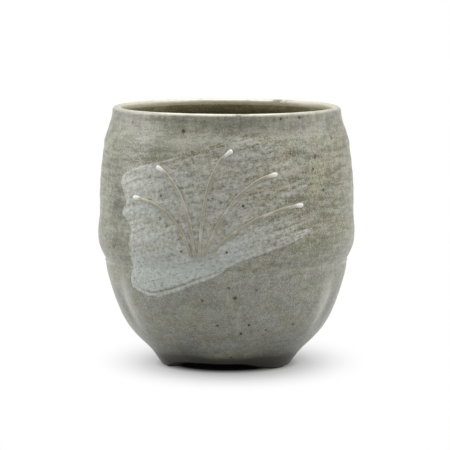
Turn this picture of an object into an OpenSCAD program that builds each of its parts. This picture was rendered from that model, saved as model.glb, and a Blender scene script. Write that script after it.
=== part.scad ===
// A yunomi, the tall Japanese tea cup without a handle, thrown in grey stoneware and glazed.
// Millimetres, +Z up, origin at the centre of the circle that the foot stands on.
// The front, with the slip sweep, looks along -Y.

/* [Height] */
// From the table to the crest of the lip
cup_h = 87.2; // [84:0.1:94]
// Height of the foot, up to the neck where it meets the bowl
foot_h = 6; // [5:0.1:7.5]
// Height at which the foot curve opens into the bowl
base_z = 10.5; // [9:0.1:12]
// Height of the haunch, the roundest part of the underside
haunch_z = 14; // [13:0.1:16]
// Height of the pressed flats, where they are deepest
press_z = 18.5; // [17:0.1:22]
// Height of the hip, where the lower wall turns upright
hip_z = 28; // [25:0.1:31]
// Height of the crease under the belt
crease_z = 36; // [34:0.1:38]
// Height of the lower edge of the belt
belt_edge_z = 41; // [40:0.1:42.5]
// Height of the belt, where the cup is widest
belt_z = 45.5; // [44:0.1:48]
// Height of the faint waist above the belt
waist_z = 52; // [50:0.1:54]
// Height of the chest, where the upper wall swells again
chest_z = 57; // [56:0.1:66]
// Drop from the lip to the shoulder, where the wall starts to close in
shoulder_drop = 12.2; // [10:0.1:16]

/* [Diameters over the glaze] */
// The bare circle of clay that the cup stands on
contact_d = 40.2; // [37:0.1:44]
// The neck, where the foot meets the bowl
neck_d = 51.2; // [49:0.1:54]
// Where the foot curve opens into the bowl
base_d = 60.5; // [57:0.1:63]
// The haunch
haunch_d = 66.4; // [64:0.1:69]
// The lower wall, where the flats are pressed in
press_d = 71.6; // [70:0.1:74]
// The hip
hip_d = 78.3; // [76:0.1:80]
// The crease under the belt
crease_d = 81.1; // [80:0.1:83]
// The lower edge of the belt
belt_edge_d = 85.8; // [84:0.1:86]
// The belt
belt_d = 86.6; // [86.2:0.1:90]
// The faint waist
waist_d = 85.5; // [84:0.1:86]
// The chest
chest_d = 85.6; // [84:0.1:86]
// The shoulder
shoulder_d = 82.5; // [80:0.1:83.5]
// The lip
lip_d = 76.9; // [73:0.1:79]

/* [Wall and lip] */
// Clay of the side wall
wall_t = 4; // [3:0.1:5.5]
// Clay of the floor, above the foot
floor_t = 5; // [4:0.1:7]
// Height from the table at which the floor's curve becomes the side wall
bowl_z = 24; // [21:0.1:27]
// Fullness of the inner floor curve, where 2 is an ellipse
bowl_power = 3; // [2.2:0.1:4]
// Rounding of the clay on each side of the lip
lip_round = 0.9; // [0.6:0.1:1.2]
// Flat left on the crest of the clay lip
lip_land = 0.4; // [0.3:0.1:0.8]
// Glaze coat, inside and outside
glaze_t = 0.4; // [0.2:0.05:0.6]
// Clearance on the crest of the lip, where the liner meets the outer coat
seam_gap = 0.05; // [0.02:0.01:0.1]

/* [Foot] */
// Lean of the foot's side from upright, in degrees
foot_lean = 37; // [30:44]
// Rounding of the foot's lower outer edge
foot_round = 1.8; // [1:0.1:2.4]
// Bore of the foot ring
bore_d = 30; // [24:0.1:33]
// Chamfer trimmed on the lower edge of the bore
bore_chamfer = 0.8; // [0.4:0.1:1.5]
// Depth of the trimming groove in the clay over the bore
groove_t = 1; // [0.5:0.1:1.5]
// Diameter of the trimming groove
groove_d = 17; // [12:0.1:20]
// Depth of the small peak left in the middle of the groove
peak_t = 0.3; // [0.1:0.1:0.4]
// Height of the arches under the foot
arch_h = 2.5; // [1:0.1:3.2]
// Half the turn that one arch takes, in degrees
arch_half_turn = 48; // [40:54]
// Turn in which an arch rises to its full height, in degrees
arch_ease_turn = 24; // [12:36]

/* [Thumb marks] */
// Flats, arches and pads round the cup
lobes = 3; // [3:3]
// Depth of the pressed flats against the ridges between them
flat_press = 1.7; // [0.5:0.1:2.4]
// How far the foot stands out at each flat's middle and at each ridge
neck_swell = 0.9; // [0.2:0.1:1.4]

/* [Slip sweep] */
// Height of the sweep's lowest corner
slip_z = 26; // [24:0.1:28]
// Drop from the lip to the sweep's top
slip_drop = 9.2; // [8:0.1:20]
// Turn at which the brush was set down, left of the front, in degrees
slip_start_turn = -54; // [-60:-45]
// Turn that the brush went, in degrees
slip_turn = 96; // [80:110]
// Thickness of the slip
slip_t = 0.3; // [0.15:0.05:0.5]
// Clearance between the slip and the glaze coat under it
slip_gap = 0.06; // [0.04:0.01:0.15]

/* [Trailed lines] */
// Width of a line along most of its length
line_w = 1; // [0.7:0.1:1.6]
// Width of the drop that a line ends in
drop_w = 1.9; // [1.4:0.1:2.4]
// Height of a line above the slip
line_t = 0.5; // [0.3:0.1:0.8]
// Clearance between a line and the slip
line_gap = 0.06; // [0.04:0.01:0.12]

/* [Hidden] */

// Facets round the cup, a multiple of twice the lobes so that ridges and flats fall on an edge
segments = 60;
$fn = 90;
// Bands of facets in a short and in a long stretch of the profile
short_bands = 2;
long_bands = 3;
// Bands in a quarter turn of the lip and of the foot's edge, and in the floor's curve
arc_bands = 3;
floor_bands = 9;
inner_bands = 12;
// Overrun of every cutting shape past the face that it cuts
over = wall_t;
// Part of a flat's depth that its ridges stand out, so that the flat takes what they give
flat_mean_share = 0.64;
// Part of the bore's radius at which the foot's underside closes, inside the bore
closing_share = 0.8;

bore_r = bore_d / 2;
contact_r = contact_d / 2;
// Heights at the top of the clay, and where the lip's rounding starts
clay_top = cup_h - glaze_t;
lip_z = clay_top - lip_round;
// Radius of the crest of the clay lip, on the outer side of its flat
crest_r = lip_d / 2 - glaze_t - lip_round;
// Top face of the clay floor
floor_z = foot_h + floor_t;
shoulder_z = cup_h - shoulder_drop;
// Height of the sweep, from its lowest corner to its top
slip_h = cup_h - slip_drop - slip_z;

// Stations of the clay's outer profile: height, radius, and bands up to the next one
stations = [
    [foot_round * (1 - sin(foot_lean)), contact_r + foot_round * cos(foot_lean), long_bands],
    [foot_h, neck_d / 2 - glaze_t, long_bands],
    [base_z, base_d / 2 - glaze_t, short_bands],
    [haunch_z, haunch_d / 2 - glaze_t, short_bands],
    [press_z, press_d / 2 - glaze_t, long_bands],
    [hip_z, hip_d / 2 - glaze_t, short_bands],
    [crease_z, crease_d / 2 - glaze_t, short_bands],
    [belt_edge_z, belt_edge_d / 2 - glaze_t, 1],
    [belt_z, belt_d / 2 - glaze_t, short_bands],
    [waist_z, waist_d / 2 - glaze_t, 1],
    [chest_z, chest_d / 2 - glaze_t, short_bands],
    [shoulder_z, shoulder_d / 2 - glaze_t, long_bands],
    [lip_z, lip_d / 2 - glaze_t, 0]
];
last = len(stations) - 1;
// The station of the crease, and the part of the lower wall's slope that is left just below it
crease = len([for (at = stations) if (at[0] < crease_z) at]);
crease_share = 0.4;

// The sweep's lower and upper edge at even steps of its turn, as shares of its height
slip_low_shares =
    [0.13, 0.01, 0.035, 0.07, 0.1, 0.135, 0.16, 0.245, 0.285, 0.315, 0.345, 0.385, 0.45];
slip_high_shares =
    [0.73, 0.82, 0.86, 0.9, 0.95, 0.98, 1, 1, 1, 0.99, 0.95, 0.87, 0.65];
slip_columns = 16;
// Least distance between two rows of the film, where its margin crosses them
slip_step = slip_t;
// Thickness left at the sweep's margin, as a share of the slip's
slip_edge_share = 0.35;

// Blades of the tuft of grass: root, bend and tip, each as a share of the sweep's turn and height
blade_shares = [
    [[0.40, 0.28], [0.34, 0.62], [0.09, 0.64]],
    [[0.42, 0.27], [0.38, 0.76], [0.22, 0.84]],
    [[0.44, 0.27], [0.45, 0.86], [0.59, 0.95]],
    [[0.46, 0.28], [0.58, 0.76], [0.80, 0.80]],
    [[0.49, 0.31], [0.68, 0.58], [0.93, 0.60]]
];
// Least number of bands along a blade, and the points of its rounded top
blade_bands = 14;
blade_sides = 5;
// Part of a blade's length after which it swells into its drop
drop_start_share = 0.86;
// Width at the very ends of a blade, as a share of its width there
blade_end_share = 0.4;

// Eases from 0 to 1 while t goes from 0 to 1, and stays there outside
function ease(t) = let (u = min(1, max(0, t))) u * u * (3 - 2 * u);

// Rise of the profile from station i to the next one
function rise(i) = (stations[i + 1][1] - stations[i][1]) / (stations[i + 1][0] - stations[i][0]);

// Slope of the profile at station i, on its upper or its lower side: none at a belt, a waist or
// the lip, and broken at the crease, where the belt was pressed down over the lower wall
function slope(i, up) =
    i == 0 ? tan(foot_lean)
    : i == last ? 0
    : i == crease ? (up ? rise(i) : crease_share * rise(i - 1))
    : rise(i - 1) * rise(i) <= 0 ? 0
    : 2 * rise(i - 1) * rise(i) / (rise(i - 1) + rise(i));

// The station at or below height z
function span(z, i = 0) = i >= last - 1 || z < stations[i + 1][0] ? i : span(z, i + 1);

// Radius and slope of the clay's outer profile at height z
function profile(z) =
    let (i = span(z), low = stations[i], high = stations[i + 1], h = high[0] - low[0])
    let (t = (z - low[0]) / h, a = slope(i, true), b = slope(i + 1, false))
    [
        (2 * t^3 - 3 * t^2 + 1) * low[1] + (3 * t^2 - 2 * t^3) * high[1]
            + (t^3 - 2 * t^2 + t) * h * a + (t^3 - t^2) * h * b,
        6 * (t - t^2) * rise(i) + (3 * t^2 - 4 * t + 1) * a + (3 * t^2 - 2 * t) * b
    ];

// A row of the surface: radius, height, and the direction square to the profile
function wall_row(z) =
    let (p = profile(z), n = norm([1, p[1]]))
    [p[0], z, 1 / n, -p[1] / n];

// A row on a quarter round at angle a from level
function round_row(r, z, size, a) = [r + size * cos(a), z + size * sin(a), cos(a), sin(a)];

foot_rows = [for (i = [0:arc_bands - 1])
    round_row(contact_r, foot_round, foot_round, -90 + (90 - foot_lean) * i / arc_bands)];
wall_rows = [for (i = [0:last - 1]) for (k = [0:stations[i][2] - 1])
    wall_row(stations[i][0] + (stations[i + 1][0] - stations[i][0]) * k / stations[i][2])];
lip_rows = [for (i = [0:arc_bands]) round_row(crest_r, lip_z, lip_round, 90 * i / arc_bands)];

// The foot's side ends at the neck, where the body starts
side_rows = [for (row = wall_rows) if (row[1] <= foot_h) row];
body_rows = concat([for (row = wall_rows) if (row[1] >= foot_h) row], lip_rows);
coat_rows = concat(wall_rows, lip_rows);

// How far the thumbs left the wall standing out at height z, a degrees from the front
function swell(z, a) =
    neck_swell * (1 + cos(2 * lobes * a)) / 2 * (1 - ease((z - foot_h) / (haunch_z - foot_h)))
    - flat_press * (abs(cos(lobes * a / 2)) - flat_mean_share)
        * ease((z - foot_h) / (press_z - foot_h)) * (1 - ease((z - press_z) / (crease_z - press_z)));

// Height of the arch under the foot, a degrees from the front
function arch(a) =
    let (turn = 360 / lobes, off = abs((a + turn / 2 + 360) % turn - turn / 2))
    arch_h * ease((arch_half_turn - off) / arch_ease_turn);

// Row of the coat's faceted profile at height z, between the two rows next to it
function facet_row(z, i = 0) =
    i < len(coat_rows) - 2 && z >= coat_rows[i + 1][1] ? facet_row(z, i + 1)
    : let (low = coat_rows[i], high = coat_rows[i + 1], t = (z - low[1]) / (high[1] - low[1]))
        low * (1 - t) + high * t;

// The point of a row a degrees from the front, off away from the clay
function spot(row, a, off) =
    let (r = row[0] + off * row[2] + swell(row[1], a))
    [r * sin(a), -r * cos(a), row[1] + off * row[3] + arch(a) * max(0, 1 - row[1] / foot_h)];

function rings(rows, off) =
    [for (row = rows) for (k = [0:segments - 1]) spot(row, k * 360 / segments, off)];

// Faces between ring a and ring b of n points each. The line that splits a square runs from low
// on its left to high on its right, up or down the wall, so the clay fits the inside of its coat
function band(a, b, n, up = true) = [for (k = [0:n - 1])
    let (next = (k + 1) % n)
    each up
        ? [[a * n + k, b * n + k, b * n + next], [a * n + k, b * n + next, a * n + next]]
        : [[a * n + k, b * n + k, a * n + next], [b * n + k, b * n + next, a * n + next]]];

function first_cap(n) = [for (k = [0:n - 1]) k];
function last_cap(ring, n) = [for (k = [n - 1:-1:0]) ring * n + k];

// Radius of the clay's inner side at height z, which thins towards the lip
function inner_r(z) = profile(z)[0] - wall_t
    + (wall_t - 2 * lip_round - lip_land) * ease((z - shoulder_z) / (lip_z - shoulder_z));

// The inner profile of the clay, from the middle of the floor to the crest of the lip
floor_points = [for (i = [0:floor_bands - 1])
    let (
        turn = 90 * i / floor_bands,
        drop = (bowl_z - floor_z) * pow(cos(turn), 2 / bowl_power),
        reach = inner_r(bowl_z) - profile(bowl_z)[1] * drop
    )
    [reach * pow(sin(turn), 2 / bowl_power), bowl_z - drop]];
inner_points = [for (i = [0:inner_bands - 1])
    let (z = bowl_z + (lip_z - bowl_z) * i / inner_bands)
    [inner_r(z), z]];
lip_points = [for (i = [0:arc_bands])
    let (row = round_row(crest_r - lip_land, lip_z, lip_round, 180 - 90 * i / arc_bands))
    [row[0], row[1]]];
inside = concat(floor_points, inner_points, lip_points);

// The liner ends on the crest, within the flats of the outer coat's edge
seam_r = crest_r * cos(180 / segments) - seam_gap;
lined = concat(inside, [[seam_r, clay_top]]);

// Point i of the lined profile moved off the clay by the coat's thickness
function lined_off(i) =
    let (n = len(lined) - 1)
    i == 0 || i == n ? lined[i] + [0, glaze_t]
    : let (d = lined[i + 1] - lined[i - 1]) lined[i] + glaze_t * [-d[1], d[0]] / norm(d);

// Thrown wall and floor. The outside is a loft with the thumbed flats, the inside a revolve
module stoneware_body() {
    color("#a59c8a")
    difference() {
        polyhedron(
            rings(body_rows, 0),
            concat(
                [first_cap(segments)],
                [for (i = [0:len(body_rows) - 2]) each band(i, i + 1, segments)],
                [last_cap(len(body_rows) - 1, segments)]
            ),
            convexity = 4
        );
        rotate_extrude()
            polygon(concat(
                inside,
                [[crest_r - lip_land, clay_top + over], [0, clay_top + over]]
            ));
        rotate_extrude()
            polygon([
                [0, foot_h - over],
                [bore_r, foot_h - over],
                [bore_r, foot_h],
                [groove_d / 2, foot_h + groove_t],
                [0, foot_h + peak_t]
            ]);
    }
}

// Foot ring: its underside is lifted into arches between the pads that it stands on
module foot_ring() {
    under_rows = concat([[bore_r * closing_share, 0, 0, -1]], foot_rows, side_rows);
    points = concat(rings(under_rows, 0), [[0, 0, arch_h]]);
    color("#9c927f")
    difference() {
        polyhedron(
            points,
            concat(
                [for (k = [0:segments - 1]) [len(points) - 1, k, (k + 1) % segments]],
                [for (i = [0:len(under_rows) - 2]) each band(i, i + 1, segments)],
                [last_cap(len(under_rows) - 1, segments)]
            ),
            convexity = 4
        );
        rotate_extrude()
            polygon([
                [0, -over],
                [bore_r + bore_chamfer, -over],
                [bore_r + bore_chamfer, 0],
                [bore_r, bore_chamfer],
                [bore_r, foot_h + over],
                [0, foot_h + over]
            ]);
    }
}

// Glaze poured inside, from the floor up over the inner side of the lip
module liner_glaze() {
    color("#77786a")
    rotate_extrude()
        polygon(concat(lined, [for (i = [len(lined) - 1:-1:0]) lined_off(i)]));
}

// Glaze dipped outside: one closed skin that fits the clay of the body and the foot
module outer_glaze() {
    n = len(coat_rows);
    color("#8f9183")
    polyhedron(
        concat(rings(coat_rows, glaze_t), rings([for (i = [n - 1:-1:0]) coat_rows[i]], 0)),
        concat(
            [for (i = [0:n - 1]) each band(i, i + 1, segments)],
            [for (i = [n:2 * n - 1]) each band(i, (i + 1) % (2 * n), segments, up = false)]
        ),
        convexity = 6
    );
}

// Value at t from 0 to 1 of the smooth curve through a list of shares
function share_at(shares, t) =
    let (n = len(shares) - 1, i = min(n - 1, floor(t * n)), f = t * n - i)
    let (a = shares[max(0, i - 1)], b = shares[i], c = shares[i + 1], d = shares[min(n, i + 2)])
    b + f / 2 * (c - a + f * (2 * a - 5 * b + 4 * c - d + f * (3 * (b - c) + d - a)));

// The sweep's angle from the front at u along its turn, and its lower and upper edge there
function sweep_angle(u) = slip_start_turn + slip_turn * u;
function sweep_low(u) = slip_z + slip_h * share_at(slip_low_shares, u);
function sweep_high(u) = slip_z + slip_h * share_at(slip_high_shares, u);

// Heights of the coat's own rows under the sweep, so that the film lies along its facets
film_heights = [for (row = coat_rows) if (row[1] > slip_z && row[1] < slip_z + slip_h) row[1]];
film_rows = len(film_heights) + 1;

// Height of the film's row k at u along its turn, drawn together where the margin cuts it off
function film_z(u, k) =
    let (low = sweep_low(u), high = sweep_high(u))
    k == 0 ? low
    : k == film_rows ? high
    : max(low + k * slip_step, min(high - (film_rows - k) * slip_step, film_heights[k - 1]));

// White slip swept round the front with a broad brush, thinning to its margins
module brushed_slip() {
    // One ring goes up the underside of a column and down its top side
    side = film_rows + 1;
    function film_t(i, k) =
        slip_t * (i == 0 || i == slip_columns || k == 0 || k == film_rows ? slip_edge_share : 1);
    function film_spot(i, k, off) =
        let (u = i / slip_columns)
        spot(facet_row(film_z(u, k)), sweep_angle(u), glaze_t + slip_gap + off);
    points = [for (i = [0:slip_columns])
        each concat(
            [for (k = [0:film_rows]) film_spot(i, k, 0)],
            [for (k = [film_rows:-1:0]) film_spot(i, k, film_t(i, k))]
        )];
    end = slip_columns * 2 * side;
    color("#c6cac1")
    polyhedron(
        points,
        concat(
            [for (i = [0:slip_columns - 1]) each band(i, i + 1, 2 * side)],
            [for (k = [0:film_rows - 1]) each [
                [k, k + 1, 2 * side - 2 - k],
                [k, 2 * side - 2 - k, 2 * side - 1 - k],
                [end + k, end + 2 * side - 2 - k, end + k + 1],
                [end + k, end + 2 * side - 1 - k, end + 2 * side - 2 - k]
            ]]
        ),
        convexity = 6
    );
}

// Point t of the curve through root and tip that bends towards the middle one
function bend(p, t) = p[0] * (1 - t)^2 + 2 * p[1] * t * (1 - t) + p[2] * t^2;

// The t at which a rising curve through root, bend and tip heights passes height h
function passing(p, h) =
    let (a = p[0] - 2 * p[1] + p[2], b = 2 * (p[1] - p[0]), c = p[0] - h)
    -2 * c / (b + sqrt(b^2 - 4 * a * c));

// One blade: a raised line with a flat underside that ends in a drop. It has a section wherever
// it crosses a row of the coat, and each point lies over its own facet, so it follows the wall
module blade(shares) {
    lift = glaze_t + slip_gap + slip_t + line_gap;
    heights = [for (p = shares) p[1]];
    row_shares = [for (row = coat_rows) (row[1] - slip_z) / slip_h];
    passes = concat(
        [0],
        [for (h = row_shares) if (h > heights[0] && h < heights[2]) passing(heights, h)],
        [1]
    );
    steps = concat(
        [for (i = [0:len(passes) - 2])
            let (n = ceil((passes[i + 1] - passes[i]) * blade_bands))
            for (k = [0:n - 1]) passes[i] + (passes[i + 1] - passes[i]) * k / n],
        [1]
    );
    // Angle from the front and height of the blade's middle line
    function middle(t) =
        [sweep_angle(bend(shares, t)[0]), slip_z + slip_h * bend(shares, t)[1]];
    function width(t) =
        (line_w + (drop_w - line_w) * ease((t - drop_start_share) / (1 - drop_start_share)))
            * (t == 0 || t == 1 ? blade_end_share : 1);
    points = [for (i = [0:len(steps) - 1])
        let (
            t = steps[i],
            at = middle(t),
            turn_mm = facet_row(at[1])[0] * PI / 180,
            step = middle(steps[min(len(steps) - 1, i + 1)]) - middle(steps[max(0, i - 1)]),
            way = [step[0] * turn_mm, step[1]] / norm([step[0] * turn_mm, step[1]]),
            tall = line_t * min(1, width(t) / line_w)
        )
        for (side = concat(
            [for (k = [0:blade_sides - 1])
                let (turn = 180 * k / (blade_sides - 1))
                [cos(turn) * width(t) / 2, sin(turn) * tall]],
            [[0, 0]]
        ))
            spot(
                facet_row(at[1] + side[0] * way[0]),
                at[0] - side[0] * way[1] / turn_mm,
                lift + side[1]
            )];
    polyhedron(
        points,
        concat(
            [first_cap(blade_sides + 1)],
            [for (i = [0:len(steps) - 2]) each band(i, i + 1, blade_sides + 1)],
            [last_cap(len(steps) - 1, blade_sides + 1)]
        ),
        convexity = 4
    );
}

// Raised lines trailed on the slip: a tuft of grass
module trailed_lines() {
    color("#e3e2d8")
    for (shares = blade_shares) blade(shares);
}

stoneware_body();
foot_ring();
liner_glaze();
outer_glaze();
brushed_slip();
trailed_lines();
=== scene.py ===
import math

import bpy
import numpy as np
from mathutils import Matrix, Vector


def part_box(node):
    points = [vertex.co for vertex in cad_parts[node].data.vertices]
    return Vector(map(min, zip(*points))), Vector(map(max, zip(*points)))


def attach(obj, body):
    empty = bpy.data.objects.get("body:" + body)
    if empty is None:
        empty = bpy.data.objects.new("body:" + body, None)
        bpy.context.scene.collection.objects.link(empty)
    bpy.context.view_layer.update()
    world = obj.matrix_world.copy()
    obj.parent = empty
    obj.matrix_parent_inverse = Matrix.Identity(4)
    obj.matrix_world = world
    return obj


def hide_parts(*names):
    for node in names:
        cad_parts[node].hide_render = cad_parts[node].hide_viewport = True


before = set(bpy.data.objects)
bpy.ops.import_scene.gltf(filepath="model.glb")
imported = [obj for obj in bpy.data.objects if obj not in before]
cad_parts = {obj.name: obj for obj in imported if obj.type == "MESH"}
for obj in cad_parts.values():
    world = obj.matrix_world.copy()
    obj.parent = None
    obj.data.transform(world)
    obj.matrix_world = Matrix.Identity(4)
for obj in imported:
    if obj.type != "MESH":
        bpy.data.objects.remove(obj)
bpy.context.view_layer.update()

# The thrown clay body
# Real piece: the wall and floor of the cup, thrown on the wheel in grey iron-bearing stoneware.
# It is bare only in the recess of the foot, where the turning tool left a ring and a small peak.
MM = 0.001
TURNS, FINE_TURNS = 96, 144
CUP_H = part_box("outer_glaze")[1][2] / MM
FOOT_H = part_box("foot_ring")[1][2] / MM
GLAZE_T = 0.4
WALL_T, FLOOR_T = 4.0, 5.0
LIP_D, LIP_ROUND, LIP_LAND = 76.9, 0.9, 0.4
LIP_Z = CUP_H - GLAZE_T - LIP_ROUND
CREST_R = LIP_D / 2 - GLAZE_T - LIP_ROUND
SHOULDER_Z = CUP_H - 12.2
FOOT_LEAN, FOOT_ROUND, CONTACT_R = math.radians(37), 1.8, 20.1
BOWL_Z, BOWL_POWER = 24.0, 3.0
FLOOR_Z = FOOT_H + FLOOR_T
# The turned recess, with its groove round a low peak: radius, and how far it is cut up into the
# body. Then the flat seam on which the body sits on its foot, which ends short of the wall
RECESS = [(0, 0.3), (1.5, 0.35), (5, 0.7), (8.5, 1.0), (12, 0.5)]
BORE_R, SEAM_IN_R, SEAM_OUT_R, SEAM_EDGE = 15.0, 18.0, 22.0, 0.6
SEAM = [(BORE_R, FOOT_H), (SEAM_IN_R, FOOT_H), (SEAM_OUT_R, FOOT_H)]
# Stations of the wall: height, and diameter over the glaze. The crease is a corner, and just
# under it the wall keeps this share of its slope
STATIONS = [
    (FOOT_ROUND * (1 - math.sin(FOOT_LEAN)),
     2 * (CONTACT_R + GLAZE_T + FOOT_ROUND * math.cos(FOOT_LEAN))),
    (FOOT_H, 51.2), (10.5, 60.8), (14.0, 66.8), (18.5, 71.8), (28.0, 78.4), (33.3, 81.0),
    (36.2, 81.5), (40.0, 85.1), (42.0, 86.2), (45.5, 86.6), (52.0, 85.5), (57.0, 85.6),
    (SHOULDER_Z, 82.5), (LIP_Z, LIP_D),
]
CREASE, CREASE_SHARE = 7, 0.4


def ease(t):
    """Goes smoothly from 0 to 1 while t does, and stays there outside."""
    t = np.clip(t, 0, 1)
    return t * t * (3 - 2 * t)


def grow(x, low, high):
    """Goes smoothly from 0 at low to 1 at high."""
    return ease((x - low) / (high - low))


def hump(x, middle, half):
    """A rounded hump of height 1, which is down to about a third at half from its middle."""
    return np.exp(-((x - middle) / half) ** 2)


def wall_r(z):
    """Radius of the bare clay at height z: a smooth curve through the stations, in mm."""
    at = np.array([s[0] for s in STATIONS])
    r = np.array([s[1] / 2 - GLAZE_T for s in STATIONS])
    rise = np.diff(r) / np.diff(at)
    above = np.zeros(len(r))
    same = rise[:-1] * rise[1:] > 0
    above[1:-1][same] = (2 * rise[:-1] * rise[1:])[same] / (rise[:-1] + rise[1:])[same]
    above[0] = math.tan(FOOT_LEAN)
    below = above.copy()
    above[CREASE], below[CREASE] = rise[CREASE], CREASE_SHARE * rise[CREASE - 1]
    i = np.clip(np.searchsorted(at, z, side="right") - 1, 0, len(r) - 2)
    h = at[i + 1] - at[i]
    t = (z - at[i]) / h
    return ((2 * t**3 - 3 * t**2 + 1) * r[i] + (3 * t**2 - 2 * t**3) * r[i + 1]
            + (t**3 - 2 * t**2 + t) * h * above[i] + (t**3 - t**2) * h * below[i + 1])


def inner_r(z):
    """Radius of the clay's inner side, which thins towards the lip."""
    thinner = (WALL_T - 2 * LIP_ROUND - LIP_LAND) * grow(z, SHOULDER_Z, LIP_Z)
    return wall_r(z) - WALL_T + thinner


def line(low, high, steps, radius):
    """Rows of radius and height up a wall whose radius is a function of the height."""
    z = np.linspace(low, high, steps)
    return np.stack([radius(z), z], axis=1)


def arc(r, z, size, start, end, steps):
    """Rows round an edge, from angle start to end above level, in degrees."""
    a = np.radians(np.linspace(start, end, steps))
    return np.stack([r + size * np.cos(a), z + size * np.sin(a)], axis=1)


def off(rows, t):
    """The rows moved t square to their line, to the right of the way they run."""
    way = np.gradient(rows, axis=0)
    way /= np.linalg.norm(way, axis=1)[:, None]
    return rows + t * np.stack([way[:, 1], -way[:, 0]], axis=1)


def deselect():
    if bpy.context.object and bpy.context.object.mode != "OBJECT":
        bpy.ops.object.mode_set(mode="OBJECT")
    bpy.ops.object.select_all(action="DESELECT")


def throw(name, rows, turns=TURNS):
    """Draws a piece's half section point by point, each a radius and a height, and turns it
    round the axis. A section that isn't a ring ends on the axis."""
    deselect()
    bpy.ops.mesh.primitive_plane_add(size=MM)
    piece = bpy.context.object
    piece.name = name
    bpy.ops.object.mode_set(mode="EDIT")
    bpy.ops.mesh.merge(type="CENTER")
    bpy.ops.transform.translate(value=(rows[0][0] * MM, 0, rows[0][1] * MM))
    for step_r, step_z in np.diff(rows, axis=0) * MM:
        bpy.ops.mesh.extrude_region_move(TRANSFORM_OT_translate={"value": (step_r, 0, step_z)})
    bpy.ops.mesh.select_all(action="SELECT")
    bpy.ops.mesh.spin(steps=turns, angle=2 * math.pi, center=(0, 0, 0), axis=(0, 0, 1))
    bpy.ops.mesh.select_all(action="SELECT")
    bpy.ops.mesh.remove_doubles(threshold=MM / 1000)
    bpy.ops.mesh.normals_make_consistent(inside=False)
    bpy.ops.object.mode_set(mode="OBJECT")
    smooth = piece.modifiers.new("smooth", "SUBSURF")
    smooth.levels = smooth.render_levels = 1
    bpy.ops.object.modifier_apply(modifier=smooth.name)
    return piece


# Thumb marks: three pressed flats, the pinched ridges between them, and three pads and arches
LOBES = 3
LOBE_TURN = 360 / LOBES
# The flats: depth, the share of it by which the ridges stand out, and where they are deepest
FLAT_PRESS, FLAT_MEAN, PRESS_Z = 1.5, 0.7, 18.5
# Degrees by which the front ridges stand forward, and bow on above the foot, and the bow's place
RIDGE_LEAN, RIDGE_BOW, BOW_Z, BOW_H = 3.5, 6.5, 16.5, 6.5
# The ridges' pinched crests: how proud, how many degrees and how high up the wall they reach, and
# the heights over which they start. Then the hollow beyond each front ridge, in mm and degrees
PINCH_T, PINCH_TURN, PINCH_Z, PINCH_H = 0.45, 3.6, 22.0, 8.5
PINCH_LOW, PINCH_FULL = 10.0, 19.0
HOLLOW_T, HOLLOW_TURN, HOLLOW_HALF = 0.25, 9.0, 5.0
# The neck swells six times round, less and less up to the haunch
NECK_SWELL, HAUNCH_Z = 0.9, 14.0
# The arches: height, degrees to each side and the part of them that rises, and how far they are
# turned. The front one reaches further at its left end
ARCH_H, ARCH_HALF, ARCH_EASE, ARCH_TURN = 2.5, 56.0, 42.0, -6.0
ARCH_WIDER, WIDER_TURN, WIDER_HALF = 0.28, -46.0, 16.0
# The lower wall rolls out a little just under the crease, with a notch over it, at the sides
CREASE_Z = STATIONS[CREASE][0]
ROLL_T, NOTCH_T, ROLL_H = 0.22, 0.16, 0.4
ROLL_Z, NOTCH_Z = CREASE_Z - 1.4 * ROLL_H, CREASE_Z + 0.2 * ROLL_H
# Throwing lines: a shallow spiral that fades in above the belt and out below the lip
SPIRAL_T, SPIRAL_RISE = 0.04, 4.8
SPIRAL_IN, SPIRAL_OUT = (46, 54), (82, 85)
# One raised line where the shoulder closes in, a little askew, with a shallow groove below it
COLLAR_T, COLLAR_Z, COLLAR_H, COLLAR_SKEW = 0.1, 75.8, 1.1, 0.25
GROOVE_DROP, GROOVE_H = 2.6, 1.6
# How far the cup is out of round, and up to which height; how far its lower half sways; and how
# far its rim dips in front
OVAL_T, OVAL_Z = 0.08, 40
SWAY_T, SWAY_OUT = 0.15, (42, 54)
RIM_DIP, RIM_IN = 0.16, (70, 87)


def from_ridges(a, z):
    """Degrees from the nearest pinched ridge, and degrees on beyond the two front ones, which
    bow forward above the foot."""
    turn = np.degrees(a) + (RIDGE_LEAN + RIDGE_BOW * hump(z, BOW_Z, BOW_H)) * np.sin(a)
    near = np.abs((turn + 360) % LOBE_TURN - LOBE_TURN / 2)
    return near, np.abs(turn) - LOBE_TURN / 2


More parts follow.
